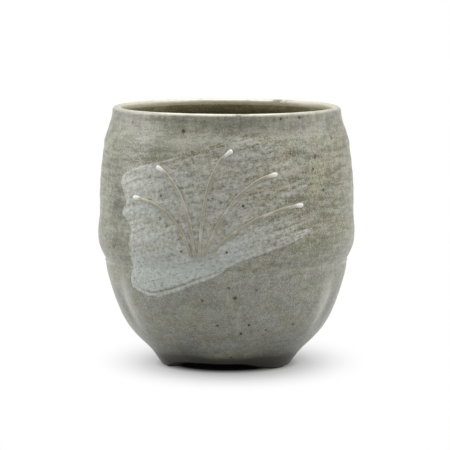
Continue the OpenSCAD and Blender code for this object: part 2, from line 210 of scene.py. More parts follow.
def marks(a, z):
    """How far the hand left the wall standing out at angle a from the front and height z, how
    far the whole wall is out of round there, and how far it is lifted."""
    swell = NECK_SWELL * (1 + np.cos(2 * LOBES * a)) / 2 * (1 - grow(z, FOOT_H, HAUNCH_Z))
    near, beyond = from_ridges(a, z)
    flat = FLAT_PRESS * (np.abs(np.sin(np.radians(near) * LOBES / 2)) - FLAT_MEAN)
    flat *= grow(z, FOOT_H, PRESS_Z) * (1 - grow(z, PRESS_Z, CREASE_Z))
    pinch = PINCH_T * hump(near, 0, PINCH_TURN)
    pinch -= HOLLOW_T * hump(beyond, HOLLOW_TURN, HOLLOW_HALF)
    pinch *= hump(z, PINCH_Z, PINCH_H) * grow(z, PINCH_LOW, PINCH_FULL)
    roll = ROLL_T * hump(z, ROLL_Z, ROLL_H) - NOTCH_T * hump(z, NOTCH_Z, ROLL_H)
    roll *= np.abs(np.sin(a)) ** 6
    spiral = SPIRAL_T * np.sin(2 * math.pi * z / SPIRAL_RISE - a)
    spiral *= grow(z, *SPIRAL_IN) * (1 - grow(z, *SPIRAL_OUT))
    collar = COLLAR_T * hump(z, COLLAR_Z + COLLAR_SKEW * np.sin(a + 1), COLLAR_H)
    collar -= COLLAR_T / 2 * hump(z, COLLAR_Z - GROOVE_DROP, GROOVE_H)
    oval = OVAL_T * np.sin(2 * a + 0.6) * grow(z, 0, OVAL_Z)
    oval -= SWAY_T * np.sin(a) * (1 - grow(z, *SWAY_OUT))
    turn = np.degrees(a) - ARCH_TURN + 360
    turn = np.abs((turn + LOBE_TURN / 2) % LOBE_TURN - LOBE_TURN / 2)
    half = ARCH_HALF * (1 + ARCH_WIDER * hump(np.degrees(a), WIDER_TURN, WIDER_HALF))
    lift = ARCH_H * ease((half - turn) / ARCH_EASE) * np.clip(1 - z / FOOT_H, 0, 1)
    dip = 0.4 + np.cos(a) + 0.3 * np.sin(a) + 0.2 * np.sin(5 * a)
    lift -= RIM_DIP * dip * grow(z, *RIM_IN)
    return swell - flat + pinch + roll + spiral + collar, oval, lift


def points_of(piece):
    """The points of a piece's mesh, a row of x, y and z for each, in metres."""
    co = np.empty(len(piece.data.vertices) * 3)
    piece.data.vertices.foreach_get("co", co)
    return co.reshape(-1, 3)


def thumb(piece, outside):
    """Presses the marks into a thrown wall. outside says which of its points are its outside."""
    co = points_of(piece) / MM
    r = np.hypot(co[:, 0], co[:, 1])
    swell, oval, lift = marks(np.arctan2(co[:, 0], -co[:, 1]), co[:, 2])
    scale = (r + swell * outside(r, co[:, 2]) + oval * grow(r, 0, BORE_R)) / np.maximum(r, 1e-6)
    co[:, 0] *= scale
    co[:, 1] *= scale
    co[:, 2] += lift
    piece.data.vertices.foreach_set("co", (co * MM).ravel())
    piece.data.update()


clay_wall = np.concatenate([
    line(FOOT_H, LIP_Z, 30, wall_r),
    arc(CREST_R, LIP_Z, LIP_ROUND, 22, 90, 4),
])
turn = np.radians(np.linspace(5, 85, 14))
drop = (BOWL_Z - FLOOR_Z) * np.cos(turn) ** (2 / BOWL_POWER)
reach = inner_r(np.array([BOWL_Z]))[0] - 0.3 * drop
clay_inside = np.concatenate([
    np.stack([reach * np.sin(turn) ** (2 / BOWL_POWER), BOWL_Z - drop], axis=1),
    line(BOWL_Z, LIP_Z, 36, inner_r),
    arc(CREST_R - LIP_LAND, LIP_Z, LIP_ROUND, 158, 90, 4),
])
turned = np.concatenate([
    [(r, FOOT_H + cut) for r, cut in RECESS],
    SEAM,
    [(wall_r(np.array([FOOT_H]))[0] - SEAM_EDGE, FOOT_H)],
])
body = throw("stoneware_body.thrown",
             np.concatenate([turned, clay_wall, clay_inside[::-2], [(0, FLOOR_Z)]]))
thumb(body, lambda r, z: r > inner_r(z) + WALL_T / 2)


def node(tree, kind, settings=None, **links):
    """Adds a shader node with its settings. Each link names a socket, or numbers it as _0, and
    gives its value, the node whose first output feeds it, or that output."""
    n = tree.nodes.new("ShaderNode" + kind)
    for key, value in (settings or {}).items():
        setattr(n, key, value)
    for key, value in links.items():
        socket = n.inputs[int(key[1:]) if key[1:].isdigit() else key.replace("_", " ")]
        if isinstance(value, bpy.types.Node):
            value = value.outputs[0]
        if isinstance(value, bpy.types.NodeSocket):
            tree.links.new(value, socket)
        else:
            socket.default_value = value
    return n


def srgb(text):
    """A colour written as a screen shows it, such as "8a8b7c", as linear light."""
    c = [int(text[i:i + 2], 16) / 255 for i in (0, 2, 4)]
    return [*(v / 12.92 if v <= 0.04045 else ((v + 0.055) / 1.055) ** 2.4 for v in c), 1]


def ramp(tree, factor, *stops):
    """A colour ramp through stops of place and colour."""
    n = node(tree, "ValToRGB", _0=factor)
    e = n.color_ramp.elements
    while len(e) < len(stops):
        e.new(0.5)
    for k, (place, colour) in enumerate(stops):
        e[k].position = place
        e[k].color = srgb(colour)
    return n


def new_material(name):
    m = bpy.data.materials.new(name)
    m.use_nodes = True
    m.node_tree.nodes.clear()
    return m, m.node_tree


def fire(piece, stands_for, finish):
    """Gives a finished piece its surface, and its place in the frame."""
    piece.data.materials.clear()
    piece.data.materials.append(finish)
    deselect()
    piece.select_set(True)
    bpy.context.view_layer.objects.active = piece
    bpy.ops.object.shade_smooth()
    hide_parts(stands_for)
    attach(piece, "root")


# Fired stoneware without glaze, cut with a turning tool: grey buff, matt, with dark grit that
# the tool dragged into short scores
bare_clay, t = new_material("bare_turned_stoneware")
place = node(t, "TexCoord").outputs["Object"]
grit = node(t, "TexNoise", Vector=place, Scale=900.0, Detail=4.0, Roughness=0.6)
cloud = node(t, "TexNoise", Vector=place, Scale=90.0, Detail=3.0)
tone = node(t, "Math", {"operation": "MULTIPLY_ADD"}, _0=grit, _1=0.5, _2=cloud)
colour = ramp(t, tone, (0.45, "5c5346"), (0.75, "93876f"), (1.0, "a79b84"))
# The foot's edge is painted dark brown, partly the film that the wiped glaze left and partly
# painted shade where the foot meets the floor
up = node(t, "SeparateXYZ", _0=place).outputs["Z"]
wiped_edge_and_shade = node(t, "MapRange", Value=up, _1=0.003, _2=0.0045, _3=1.0, _4=0.0)
colour = node(t, "MixRGB", Fac=wiped_edge_and_shade, Color1=colour, Color2=srgb("33291c"))
bump = node(t, "Bump", Strength=0.5, Distance=0.0003, Height=grit)
shader = node(t, "BsdfPrincipled", Base_Color=colour, Roughness=0.85, Normal=bump)
node(t, "OutputMaterial", Surface=shader)
fire(body, "stoneware_body", bare_clay)

# The foot ring
# Real piece: the low kodai of the same clay, luted on and turned, then pressed up in three
# places so that it stands on three pads. Its lower edge is wiped free of glaze.

# The bore's wall, down to its rounded lower edge: how far out of the bore, and height
BORE_WALL = [(0, 4), (0, 2.4), (0, 1.1), (0.4, 0.4), (1, 0)]
# Outside this radius the foot swells with the neck. The arches go right through it
PRESSED_R = 17.0
foot = throw("foot_ring.turned", np.concatenate([
    arc(CONTACT_R, FOOT_ROUND, FOOT_ROUND, -90, -50, 4),
    line(STATIONS[0][0], FOOT_H, 5, wall_r),
    SEAM[::-1],
    [(BORE_R + out, high) for out, high in BORE_WALL],
    [(SEAM_IN_R, 0), (CONTACT_R, 0)],
]))
thumb(foot, lambda r, z: r > PRESSED_R)
fire(foot, "foot_ring", bare_clay)

# The liner glaze
# Real piece: glaze poured in, swirled and poured out, so it coats the floor and the wall up to
# the lip. It is the glaze of the outside, painted darker and browner towards the floor as shade.

# Its thickness, and the gap that keeps the back of each coat clear of the clay
LINER_T, BACK_GAP = 0.36, 0.05
liner = throw("liner_glaze.poured", np.concatenate([
    [(0, FLOOR_Z + LINER_T)],
    off(clay_inside, -LINER_T),
    off(clay_inside, -BACK_GAP)[::-3],
    [(0, FLOOR_Z + BACK_GAP)],
]))
thumb(liner, lambda r, z: 0 * r)


def ash_glaze(t, place, deep, middle, pale):
    """Satin wood-ash glaze: it broke over the clay in a 2 mm mottle with a grain of half a
    millimetre and along the level throwing rings, all bolder above the crease, and leans to olive
    in patches. Gives its colour and its height."""
    patch = node(t, "TexNoise", Vector=place, Scale=85.0, Detail=2.0)
    mottle = node(t, "TexNoise", Vector=place, Scale=430.0, Detail=3.0, Roughness=0.6)
    grain = node(t, "TexNoise", Vector=place, Scale=2000.0, Detail=2.0, Roughness=0.7)
    flat = node(t, "VectorMath", {"operation": "MULTIPLY"}, _0=place, _1=(0.14, 0.14, 1.0))
    rings = node(t, "TexNoise", Vector=flat, Scale=800.0, Detail=2.0, Roughness=0.6)
    tone = node(t, "Math", {"operation": "MULTIPLY_ADD"}, _0=patch, _1=0.35, _2=mottle)
    tone = node(t, "Math", {"operation": "MULTIPLY_ADD"}, _0=grain, _1=1.9, _2=tone)
    high = node(t, "SeparateXYZ", _0=place).outputs["Z"]
    ringed = node(t, "MapRange", Value=high, _1=0.028, _2=0.060, _3=0.5, _4=1.15)
    rings = node(t, "Math", {"operation": "SUBTRACT"}, _0=rings, _1=0.5)
    rings = node(t, "Math", {"operation": "MULTIPLY"}, _0=rings, _1=ringed)
    tone = node(t, "Math", {"operation": "ADD"}, _0=tone, _1=rings)
    tone = node(t, "MapRange", {"clamp": False}, Value=tone, _1=1.30, _2=1.95, _3=-0.5, _4=0.5)
    calm = node(t, "MapRange", Value=high, _1=0.03, _2=0.06, _3=0.66, _4=1.3)
    unrest = node(t, "MapRange", Value=high, _1=0.004, _2=0.014, _3=0.3, _4=0.0)
    unrest = node(t, "Math", {"operation": "ADD"}, _0=calm, _1=unrest)
    tone = node(t, "Math", {"operation": "MULTIPLY_ADD"}, _0=tone, _1=unrest, _2=0.5)
    colour = ramp(t, tone, (0.0, deep), (0.5, middle), (1.0, pale))
    lean = node(t, "TexNoise", Vector=place, Scale=140.0, Detail=2.0)
    olive = ramp(t, lean, (0.40, "fdfbfc"), (0.60, "faf9ed"))
    colour = node(t, "MixRGB", {"blend_type": "MULTIPLY"}, Fac=1.0, Color1=colour, Color2=olive)
    tinge = node(t, "TexNoise", Vector=place, Scale=800.0, Detail=3.0).outputs["Color"]
    colour = node(t, "MixRGB", {"blend_type": "SOFT_LIGHT"}, Fac=0.15, Color1=colour, Color2=tinge)
    # Above the crease it fired more olive, most on the side that faced the flame, and blushed
    # faintly pink and green
    side = node(t, "MapRange", Value=node(t, "SeparateXYZ", _0=place), _1=-0.03, _2=0.03)
    flame = ramp(t, side, (0.0, "fbfaf1"), (1.0, "faf5e9"))
    blush = node(t, "TexNoise", Vector=place, Scale=230.0, Detail=2.0)
    blush = ramp(t, blush, (0.38, "fffbf9"), (0.62, "f8fdfa"))
    flame = node(t, "MixRGB", {"blend_type": "MULTIPLY"}, Fac=1.0, Color1=flame, Color2=blush)
    above = node(t, "MapRange", Value=high, _1=0.028, _2=0.050)
    flame = node(t, "MixRGB", Fac=above, Color1=srgb("ffffff"), Color2=flame)
    colour = node(t, "MixRGB", {"blend_type": "MULTIPLY"}, Fac=1.0, Color1=colour, Color2=flame)
    height = node(t, "Math", {"operation": "MULTIPLY_ADD"}, _0=grain, _1=0.5, _2=mottle)
    return colour, height


def iron_specks(t, place, colour, spots):
    """Adds the iron that bled from the clay: soft olive spots of a millimetre, fine dark specks,
    and larger spots at their own places, each an angle, a height and a size. A larger spot is a
    ragged dark core in a paler halo."""
    for scale, chance, size, fade, stain in (
            (330.0, 0.3, 0.26, 0.2, "5f5a43"), (640.0, 0.5, 0.2, 0.1, "453e2e")):
        cells = node(t, "TexVoronoi", Vector=place, Scale=scale)
        draw = node(t, "SeparateColor", _0=cells.outputs["Color"])
        reach = node(t, "MapRange", Value=draw, _1=chance, _2=1.0, _3=-0.01, _4=size)
        inside = node(t, "Math", {"operation": "SUBTRACT"}, _0=reach, _1=cells.outputs["Distance"])
        mask = node(t, "MapRange", Value=inside, _1=0.0, _2=fade, _3=0.0, _4=0.75)
        colour = node(t, "MixRGB", Fac=mask, Color1=colour, Color2=srgb(stain))
    ragged = node(t, "TexNoise", Vector=place, Scale=1500.0, Detail=2.0).outputs["Color"]
    ragged = node(t, "VectorMath", {"operation": "MULTIPLY_ADD"},
                  _0=ragged, _1=(MM, MM, MM), _2=place)
    for degrees, z, size in spots:
        at = skin(np.radians([degrees]), np.array([z]), 0)[0] + MM / 2
        far = node(t, "VectorMath", {"operation": "DISTANCE"}, _0=ragged, _1=tuple(at))
        far = far.outputs["Value"]
        halo = node(t, "MapRange", Value=far, _1=1.5 * size * MM, _2=0.7 * size * MM, _4=0.6)
        colour = node(t, "MixRGB", Fac=halo, Color1=colour, Color2=srgb("625a43"))
        core = node(t, "MapRange", Value=far, _1=0.9 * size * MM, _2=0.5 * size * MM)
        colour = node(t, "MixRGB", Fac=core, Color1=colour, Color2=srgb("332919"))
    return colour


def melted(t, colour, height, roughness):
    """Ends a glaze's material: a satin glassy surface with an uneven skin."""
    bump = node(t, "Bump", Strength=0.5, Distance=0.00025, Height=height)
    shader = node(t, "BsdfPrincipled", Base_Color=colour, Roughness=roughness, Normal=bump)
    node(t, "OutputMaterial", Surface=shader)


# The poured glaze: olive brown down in the cup, which is painted shade, and paler in steps up to
# the thin edge at the lip
poured, t = new_material("poured_ash_glaze")
place = node(t, "TexCoord").outputs["Object"]
up = node(t, "SeparateXYZ", _0=place).outputs["Z"]
colour, height = ash_glaze(t, place, "8f8a73", "a9a48d", "c0bca8")
# Painted shade: darker and browner down inside the cup; the cream at the top is the thin edge at
# the lip
depth = node(t, "MapRange", Value=up, _1=0.079, _2=0.087, _3=0.0, _4=1.0)
inside_shade_and_lip_tint = ramp(t, depth, (0.0, "6c6b5c"), (0.45, "878471"), (0.65, "b1ac99"),
            (0.85, "d9d2bf"), (1.0, "efead9"))
colour = node(t, "MixRGB", {"blend_type": "MULTIPLY"}, Fac=1.0, Color1=colour, Color2=inside_shade_and_lip_tint)
melted(t, colour, height, 0.38)
fire(liner, "liner_glaze", poured)

# The outer glaze
# Real piece: the same glaze dipped outside, from the foot's edge over the crest of the lip,
# where it thins and shows its cream edge. Iron in the clay came through as brown specks.

# The rows of the wall stand closer from this far below the crease to this far above it
CLOSE_BELOW, CLOSE_ABOVE = 2.5, 2
clay_wall_rows = np.concatenate([
    line(STATIONS[0][0], CREASE_Z - CLOSE_BELOW, 30, wall_r)[:-1],
    line(CREASE_Z - CLOSE_BELOW, CREASE_Z, 8, wall_r)[:-1],
    line(CREASE_Z, CREASE_Z + CLOSE_ABOVE, 5, wall_r)[:-1],
    line(CREASE_Z + CLOSE_ABOVE, LIP_Z, 46, wall_r),
])
COAT_ROWS = len(clay_wall_rows)
clay_side = np.concatenate([
    clay_wall_rows,
    arc(CREST_R, LIP_Z, LIP_ROUND, 15, 90, 6),
    arc(CREST_R - LIP_LAND, LIP_Z, LIP_ROUND, 100, 165, 5),
])
coat_face = off(clay_side, GLAZE_T)
# It laps over the lip and tapers off inside: how far down, and how thick there
LAP_DROPS, LAP_T = np.array([0.3, 0.8, 1.5]), [0.39, 0.36, 0.26]
lap_z = LIP_Z - LAP_DROPS
lap = np.stack([inner_r(lap_z) - LAP_T, lap_z], axis=1)
under_lap = np.stack([inner_r(lap_z) - 2 * BACK_GAP, lap_z], axis=1)
coat = throw("outer_glaze.dipped", np.concatenate([
    coat_face, lap, under_lap[::-1], off(clay_side, BACK_GAP)[::-4], coat_face[:1],
]), FINE_TURNS)
co = points_of(coat) / MM
a, z = np.arctan2(co[:, 0], -co[:, 1]), co[:, 2]
from_front = np.degrees(a)
near, beyond = from_ridges(a, z)
# Where the glaze is painted paler, more than 0, and darker, less than 0. The pinched ridges are
# paler where the glaze ran thin and as a painted highlight; the crease's lower edge has a painted
# highlight, most at the sides. Beyond the front ridges, in the hollows of the neck and, darkest, in
# a roll round the foot it is painted shade, with some pooled glaze
thin_and_painted_light = 0.95 * hump(near, 0, 4) * hump(z, 23.5, 8)
# A painted highlight along the crease's lower edge, most at the sides
crease_highlight = 0.75 * ease(np.abs(np.sin(a)) * 7.5 - 6.6) + 0.28 * ease(3 * np.sin(a) - 0.6)
thin_and_painted_light += crease_highlight * hump(z, ROLL_Z, 1.5 * ROLL_H)
# Painted shade, with some pooled glaze, beyond the front ridges, in the neck's hollows and in a
# roll round the foot
thin_and_painted_light -= 0.22 * hump(beyond, 11, 5) * hump(z, 21, 8)
thin_and_painted_light -= 0.4 * hump((from_front + 360) % (LOBE_TURN / 2), LOBE_TURN / 4, 13) * hump(z, 6, 4.5)
thin_and_painted_light -= 0.9 * ease((6.9 + 1.2 * np.sin(a) ** 2 - z) / 4.4)
# Single places: how pale, below 0 how dark, the height in mm and the degrees from the front, each
# with its reach. They are painted shade on the wall under the middle of the lip, a dark strip left
# of the sweep in two parts, a pale place left of its lower corner, painted shade on the neck under
# each front ridge and left of the middle, a pale band along the sweep's top, and a pale place of
# painted light on the shoulder at the left
PLACES = [
    (-0.3, 84, 3.4, 5, 36), (-0.32, 56, 17, -57, 6), (-0.2, 77, 8, -51, 7),
    (0.12, 31, 6, -66, 10), (-0.25, 8, 4, -49, 10), (-0.25, 8, 4, 49, 10), (-0.2, 7, 4, -30, 13),
    (0.42, 77, 4, -18, 20), (0.12, 81, 6, -66, 9),
]
for how_pale, at_z, reach_z, at_turn, reach_turn in PLACES:
    thin_and_painted_light += how_pale * hump(z, at_z, reach_z) * hump(from_front, at_turn, reach_turn)
# Thinnest and palest of all is the lap inside the lip; it is paler still at the back as painted
# light
inside_lip = (np.hypot(co[:, 0], co[:, 1]) < CREST_R - LIP_LAND) & (z > BOWL_Z)
thin_and_painted_light += (0.95 + 0.5 * ease(-1.2 * np.cos(a))) * inside_lip


def keep(piece, name, values):
    """Keeps a number or a vector for each point of a piece, for its material to read."""
    kind, key = ("FLOAT", "value") if values.ndim == 1 else ("FLOAT_VECTOR", "vector")
    piece.data.attributes.new(name, kind, "POINT").data.foreach_set(key, values.ravel())


keep(coat, "thin_and_painted_light", thin_and_painted_light)
thumb(coat, lambda r, z: r > inner_r(z) + 1)


def skin(a, z, out):
    """Points on the outer glaze at angles a from the front and heights z, out mm off it."""
    rows = coat_face[:COAT_ROWS]
    swell, oval, lift = marks(a, z)
    r = np.interp(z, rows[:, 1], rows[:, 0]) + swell + oval + out
    return np.stack([r * np.sin(a), -r * np.cos(a), z + lift], axis=-1) * MM


# Larger iron spots: degrees from the front, height and radius in mm
SPOTS = [
    (-21, 81.5, 0.65), (44, 72.5, 0.6), (42, 68.5, 0.55), (48, 61.5, 0.6), (7, 57.5, 0.6),
    (4, 27.0, 0.75), (-5, 17.5, 0.6), (8, 14.5, 0.65), (38, 17.0, 0.6), (-30, 60.5, 0.5),
    (-60, 42.0, 0.6), (0, 42.5, 0.5), (22, 15.5, 0.45), (30, 74.0, 0.4), (-12, 26.0, 0.5),
    (-20, 42.5, 0.45), (3, 5.5, 0.5), (12, 17.5, 0.5), (1, 30.5, 0.5), (14, 29.5, 0.5),
    (-53, 83.5, 0.5), (58, 78.0, 0.55), (12, 76.5, 0.4), (27, 85.5, 0.5), (38, 85.6, 0.6),
]

# The dipped glaze: grey olive, from its deep places to its pale ones
GLAZE = "6e6f63", "8e9086", "abada6"
dipped, t = new_material("dipped_ash_glaze")
place = node(t, "TexCoord").outputs["Object"]
up = node(t, "SeparateXYZ", _0=place).outputs["Z"]
colour, height = ash_glaze(t, place, *GLAZE)
# Under the lip the glaze ran down in 1.5 mm streaks, some of them purple grey
flow = node(t, "VectorMath", {"operation": "MULTIPLY"}, _0=place, _1=(1.0, 1.0, 0.2))
streak = node(t, "TexNoise", Vector=flow, Scale=520.0, Detail=2.0, Roughness=0.5)
run = node(t, "MapRange", Value=up, _1=0.0745, _2=0.0835, _3=0.0, _4=0.4)
ran = ramp(t, streak, (0.36, "78746c"), (0.5, "8f8d84"), (0.64, "a8a79b"))
colour = node(t, "MixRGB", Fac=run, Color1=colour, Color2=ran)
colour = iron_specks(t, place, colour, SPOTS)
thin_and_light_here = node(t, "Attribute", {"attribute_name": "thin_and_painted_light"}).outputs["Fac"]
# Paler above 0: glaze thin on the ridges, at the crease and over the lip, with painted highlights
# on ridges, crease and the lap at the back
broke = node(t, "MapRange", Value=thin_and_light_here, _1=0.0, _2=1.0, _3=0.0, _4=0.6)
over_lip = node(t, "MapRange", Value=thin_and_light_here, _1=0.88, _2=0.94)
thin_and_highlight_colour = node(t, "MixRGB", Fac=over_lip, Color1=srgb("d0cfc6"), Color2=srgb("c6bea5"))
colour = node(t, "MixRGB", Fac=broke, Color1=colour, Color2=thin_and_highlight_colour)
# Darker below 0: painted shade under the lip, beyond the ridges, in the neck's hollows and round
# the foot, with some pooled glaze
pooled = node(t, "MapRange", Value=thin_and_light_here, _1=0.0, _2=-1.0, _3=0.0, _4=1.0)
colour = node(t, "MixRGB", {"blend_type": "MULTIPLY"},
              Fac=pooled, Color1=colour, Color2=srgb("4e4c39"))
# Low on the foot it fired olive. Its edge is painted dark brown, partly the wiped edge of the glaze
# and partly painted shade where the foot meets the floor
low = node(t, "MapRange", Value=up, _1=0.0045, _2=0.0085, _3=1.0, _4=0.0)
colour = node(t, "MixRGB", {"blend_type": "MULTIPLY"},
              Fac=low, Color1=colour, Color2=srgb("f3f1dc"))
wiped_edge_and_shade = node(t, "MapRange", Value=up, _1=0.0028, _2=0.0053, _3=0.9, _4=0.0)
colour = node(t, "MixRGB", Fac=wiped_edge_and_shade, Color1=colour, Color2=srgb("2a2516"))
# The crest, where the glaze is thin enough to show cream, with chips of brown. It is less cream
# at the sides
crest = node(t, "MapRange", Value=up, _1=0.0860, _2=0.0868, _3=0.0, _4=1.0)
out_to_side = node(t, "Math", {"operation": "ABSOLUTE"}, _0=node(t, "SeparateXYZ", _0=place))
pale_side = node(t, "MapRange", Value=out_to_side, _1=0.018, _2=0.034, _3=1.0, _4=0.5)
crest = node(t, "Math", {"operation": "MULTIPLY"}, _0=crest, _1=pale_side)
chips = node(t, "TexNoise", Vector=place, Scale=150.0, Detail=3.0, Roughness=0.6)
cream = ramp(t, chips, (0.32, "6f664c"), (0.38, "bcb8a5"), (0.6, "cac7b7"))
colour = node(t, "MixRGB", Fac=crest, Color1=colour, Color2=cream)
gloss = node(t, "MapRange", Value=up, _1=0.0855, _2=0.0868, _3=0.34, _4=0.2)
melted(t, colour, height, gloss)
fire(coat, "outer_glaze", dipped)

# The brushed slip
# Real piece: white slip swept round the front in one stroke of a coarse straw brush, set down
# at the left and lifted at the right, so it is thick at its left end and breaks into streaks.

# The heights in mm between which it lies, the degrees from the front at which it starts, and the
# degrees that it runs on
SWEEP_LOW, SWEEP_TOP = 26.0, 78.0
SWEEP_START, SWEEP_TURN = -54.0, 96.0
# Its margins along the turn, as shares of the way from SWEEP_LOW to SWEEP_TOP, and the share of
# the turn that the film runs on to the left of its start
LOW_SHARES = [
    0.05, 0.015, -0.015, 0.015, 0.05, 0.095, 0.125, 0.215, 0.267, 0.297, 0.325, 0.37, 0.425,
]
HIGH_SHARES = [
    0.80, 0.87, 0.89, 0.91, 0.95, 0.99, 1.03, 1.07, 1.08, 1.06, 1, 0.9, 0.68,
]
EARLY_SHARE = 0.03
COLUMNS, LINES = 240, 120
# Rise of the stroke, the radius at which its lengths are measured, and its length
STROKE_RISE, STROKE_R = math.radians(16), 43.0
STROKE_L = STROKE_R * math.radians(SWEEP_TURN)
# How far its margins sink under the glaze, how far its middle stands out, and its own thickness
SLIP_SINK, SLIP_RISE, SLIP_T = 0.07, 0.2, 0.12


def furrows(across, along, widths, seed):
    """Uneven furrows of the given widths, each wandering a little along the stroke: -1 to 1."""
    rng = np.random.default_rng(seed)
    total = np.zeros_like(across)
    for width in widths:
        phase, drift = rng.uniform(0, 2 * math.pi, 2)
        wander = 1.3 * np.sin(2 * math.pi * along / (16 * width) + drift)
        total += np.sin(2 * math.pi * across / width + phase + wander)
    return total / math.sqrt(len(widths))


def edge_of(shares, u):
    """Height of the sweep's margin at u along its turn, with its corners rounded."""
    at = np.linspace(0, 1, len(shares))
    share = sum(np.interp(u + d, at, shares) for d in (-0.04, -0.02, 0, 0.02, 0.04)) / 5
    return SWEEP_LOW + (SWEEP_TOP - SWEEP_LOW) * share


def wane(x, length, power):
    """Falls from 1 at 0 to about a third at length, the more suddenly the higher the power."""
    return np.exp(-(x / length) ** power)


deselect()
bpy.ops.mesh.primitive_grid_add(x_subdivisions=COLUMNS, y_subdivisions=LINES, size=1)
slip = bpy.context.object
slip.name = "brushed_slip.swept"
grid = points_of(slip) + 0.5
u, v = (1 + EARLY_SHARE) * grid[:, 0] - EARLY_SHARE, grid[:, 1]
a = np.radians(SWEEP_START + SWEEP_TURN * u)
z = edge_of(LOW_SHARES, u) * (1 - v) + edge_of(HIGH_SHARES, u) * v
along = STROKE_R * a * math.cos(STROKE_RISE) + z * math.sin(STROKE_RISE)
across = z * math.cos(STROKE_RISE) - STROKE_R * a * math.sin(STROKE_RISE)
from_start = STROKE_R * (a - math.radians(SWEEP_START))
above_margin = z - edge_of(LOW_SHARES, u)
coarse = furrows(across, along, (2.3, 3.4, 5.2, 7.9), 3)
fine = furrows(across, along, (0.75, 1.05, 1.45, 2.0), 5)
# Where the slip lies. It starts in rounded lobes: how far each reaches out to the left of the
# rest, or stays back, its height and half its width, in mm
START_AT = 4.1
START_LOBES = [(4.7, 64, 5.5), (3.6, 53.8, 2.4), (-1.2, 47.8, 1.8), (2.2, 31, 4)]
start_at = START_AT - sum(reach * hump(z, at, half) for reach, at, half in START_LOBES)
start = ease((from_start - start_at + 0.6 - 0.15 * fine) / (1.2 + 1.5 * hump(z, 43, 6)))
# It ends in streaks where the brush lifted, and fades before the end of the stroke. Two streaks
# run on longer, how far and at which height and half width, and so does the lower margin. The
# lower edge is firm and the top soft
LIFT_AT = 65
LONG_STREAKS = [(7, 46, 4), (3, 66, 5)]
lift_at = LIFT_AT + 6 * coarse + 6 * hump(above_margin, 2.5, 4)
lift_at += sum(further * hump(z, at, half) for further, at, half in LONG_STREAKS)
lifted = 1 - ease((from_start - lift_at + 8) / 11)
lifted *= ease((STROKE_L - from_start - 0.4 + 0.3 * fine) / 3)
foot_edge = ease((above_margin - 0.5 - 0.25 * fine) / 0.8)
top_edge = ease((edge_of(HIGH_SHARES, u) - z - 0.8 - 1.2 * coarse - 0.5 * fine) / 3.0)
cover = start * lifted * foot_edge * top_edge
# How white it is: whitest where the brush was set down and along the lower margin, but for the
# thin line where the slip's own edge crept back, and less where the brush was nearly spent
setting = 0.19 * hump(from_start, 9, 24)
# One bright streak and two faint ones at the start, then the lower corner and the patch over it
setting += 0.14 * hump(z, 57.5, 3.5) * hump(from_start, 8, 8)
setting += 0.05 * np.maximum(hump(z, 64.5, 5.5), hump(z, 51, 4.5)) * wane(from_start, 10, 1)
setting += 0.24 * hump(z, 33, 5.5) * wane(from_start, 26, 6)
setting += 0.1 * hump(z, 41, 5) * wane(from_start, 22, 2)
# A broad pale band along the margin, brighter left of the middle, and the slip's rolled edge
margin = 0.26 * hump(above_margin, 5, 7) * wane(from_start, 76, 4)
margin += 0.26 * hump(above_margin, 4, 7) * hump(from_start, 30, 15)
margin += 0.16 * hump(above_margin, 1.2, 0.8) * wane(from_start, 72, 6)
crept = 1.3 * hump(above_margin, 2.4, 0.4) * hump(from_start, 20, 15)
spent = 0.12 * ease((from_start - 44) / 14)
white = 0.48 + 0.08 * coarse + setting + margin - crept - spent
film = np.clip(cover * white, 0, 1)
rolled = hump(above_margin, 1.1, 0.7) * (1 - ease((from_start - 34) / 8))
proud = SLIP_RISE + 0.02 * fine + 0.03 * coarse + 0.1 * setting + 0.12 * rolled
slip.data.vertices.foreach_set("co", skin(a, z, cover * proud - SLIP_SINK).ravel())
stroke = np.stack([along, across, 0 * along], axis=1) * MM
keep(slip, "film", film)
keep(slip, "stroke", stroke)
slip.data.update()
wall = slip.modifiers.new("underside", "SOLIDIFY")
wall.thickness, wall.offset = SLIP_T * MM, -1
bpy.ops.object.modifier_apply(modifier=wall.name)

# White slip under the same glaze: chalky grey, a little bluer where it lies thick, with the
# furrows of the straw and the mottle of the glaze breaking through it, and small dark pits
swept, t = new_material("brushed_white_slip_under_glaze")
place = node(t, "TexCoord").outputs["Object"]
colour, height = ash_glaze(t, place, *GLAZE)
colour = node(t, "MixRGB", {"blend_type": "MULTIPLY"},
              Fac=1.0, Color1=colour, Color2=srgb("fffbf5"))
film_here = node(t, "Attribute", {"attribute_name": "film"}).outputs["Fac"]
stroke_here = node(t, "Attribute", {"attribute_name": "stroke"}).outputs["Vector"]
combed = node(t, "VectorMath", {"operation": "MULTIPLY"}, _0=stroke_here, _1=(0.07, 1.0, 1.0))
straw = node(t, "TexNoise", Vector=combed, Scale=800.0, Detail=4.0, Roughness=0.65)
break_up = node(t, "TexNoise", Vector=place, Scale=850.0, Detail=4.0, Roughness=0.7)
worn = node(t, "Math", {"operation": "MULTIPLY_ADD"}, _0=straw, _1=1.0, _2=break_up)
worn = node(t, "MapRange", Value=worn, _1=0.72, _2=1.12, _3=-0.60, _4=0.15)
steady = node(t, "MapRange", Value=film_here, _1=0.4, _2=0.85, _3=1.1, _4=0.55)
worn = node(t, "Math", {"operation": "MULTIPLY"}, _0=worn, _1=steady)
pooled = node(t, "Math", {"operation": "ADD"}, _0=film_here, _1=worn)
there = node(t, "MapRange", Value=film_here, _1=0.0, _2=0.12, _3=0.0, _4=1.0)
opaque = node(t, "Math", {"operation": "MULTIPLY", "use_clamp": True}, _0=pooled, _1=there)
white = ramp(t, break_up, (0.36, "a6aaa4"), (0.5, "b8bbb5"), (0.64, "c8cac4"))
laid_on = node(t, "MapRange", Value=film_here, _1=0.65, _2=0.95, _3=0.0, _4=0.35)
white = node(t, "MixRGB", Fac=laid_on, Color1=white, Color2=srgb("bac4bf"))
